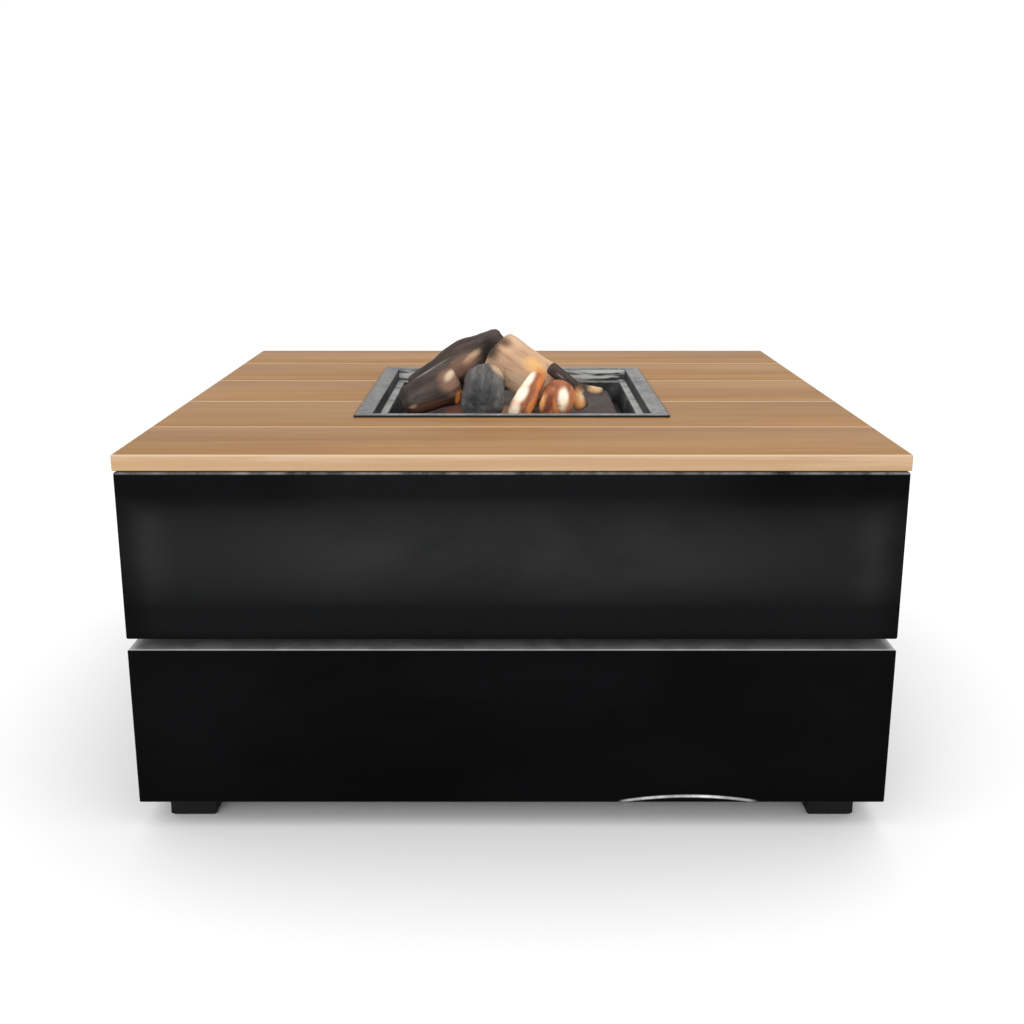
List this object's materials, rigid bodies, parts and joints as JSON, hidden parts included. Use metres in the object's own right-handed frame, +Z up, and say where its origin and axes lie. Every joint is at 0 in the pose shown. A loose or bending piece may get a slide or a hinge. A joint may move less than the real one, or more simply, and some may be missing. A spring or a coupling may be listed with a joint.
{
  "type": "fire pit",
  "caption": "Square low gas fire pit table with plank top, two-band sheet body, rear door and a lift-out grate of ceramic logs in a drop-in burner.",
  "frame": {"origin": "centre of the footprint, on the floor", "axes": "+X to the right seen from the front, +Y from the front panel towards the back door, +Z up"},
  "size_m": [1.0001, 1, 0.6028],
  "materials": {
    "teak": "oiled",
    "black_coat": "satin powder coat",
    "foot_rubber": "matte",
    "zinc": "dull, mottled",
    "dark_tray": "matte, heat-stained",
    "steel": "brushed",
    "iron": "matte",
    "brass": "plain",
    "charred": "matte, sooty",
    "bed_grey": "matte",
    "bark_tan": "matte",
    "ember": "matte, glowing",
    "knob_black": "satin",
    "lead": "matte"
  },
  "bodies": {
    "base": {"plank_front": "teak", "plank_front_middle": "teak", "plank_middle_left": "teak", "plank_middle_right": "teak", "plank_back_middle": "teak", "plank_back": "teak", "top_battens": "teak", "plank_screws": "steel", "base_frame": "black_coat", "post_front_left": "black_coat", "post_front_right": "black_coat", "post_back_left": "black_coat", "post_back_right": "black_coat", "top_frame": "black_coat", "burner_rails": "black_coat", "base_shelf": "black_coat", "foot_front_left": "foot_rubber", "foot_front_right": "foot_rubber", "foot_back_left": "foot_rubber", "foot_back_right": "foot_rubber", "foot_screws": "steel", "panel_upper_front": "black_coat", "panel_upper_left": "black_coat", "panel_upper_right": "black_coat", "panel_lower_front": "black_coat", "panel_lower_left": "black_coat", "panel_lower_right": "black_coat", "panel_clips": "black_coat", "hinge_fixed_leaves": "steel", "hinge_pins": "steel", "magnet_catches": "iron", "burner_frame": "zinc", "burner_tray": "dark_tray", "heat_shield": "zinc", "burner_ring": "steel", "gas_pipe": "steel", "pilot_assembly": "steel", "thermocouple": "brass", "ignition_lead": "lead", "control_panel": "steel", "valve_body": "brass", "igniter_body": "knob_black"},
    "door": {"door_frame": "black_coat", "door_panel_upper": "black_coat", "door_panel_lower": "black_coat", "hinge_door_leaves": "steel", "door_pull": "knob_black"},
    "push_carrier": {"push_collar": "steel"},
    "knob": {"valve_spindle": "steel", "control_knob": "knob_black"},
    "igniter_push": {"igniter_button": "steel"},
    "fire_bed": {"grate": "iron", "ember_bed": "bed_grey", "log_left": "charred", "log_low_left": "charred", "log_front": "charred", "log_right": "bark_tan", "log_split": "ember", "log_end": "ember", "log_small": "charred"}
  },
  "joints": [
    {"name": "door_hinge", "type": "hinge", "parent": "base", "child": "door", "pos_m": [-0.486, 0.486, 0.27], "axis": [0, 0, 1], "range_deg": [0, 100]},
    {"name": "knob_push", "type": "slide", "parent": "base", "child": "push_carrier", "axis": [-1, 0, 0], "range_m": [0, 0.0035], "stiffness_N_per_m": 1500, "springref_m": -0.002},
    {"name": "knob_turn", "type": "hinge", "parent": "push_carrier", "child": "knob", "pos_m": [0.49, 0.232, 0.379], "axis": [1, 0, 0], "range_deg": [0, 210]},
    {"name": "igniter_press", "type": "slide", "parent": "base", "child": "igniter_push", "axis": [-1, 0, 0], "range_m": [0, 0.006], "stiffness_N_per_m": 800, "springref_m": -0.003},
    {"name": "grate_lift", "type": "slide", "parent": "base", "child": "fire_bed", "axis": [0, 0, 1], "range_m": [0, 0.12]}
  ]
}
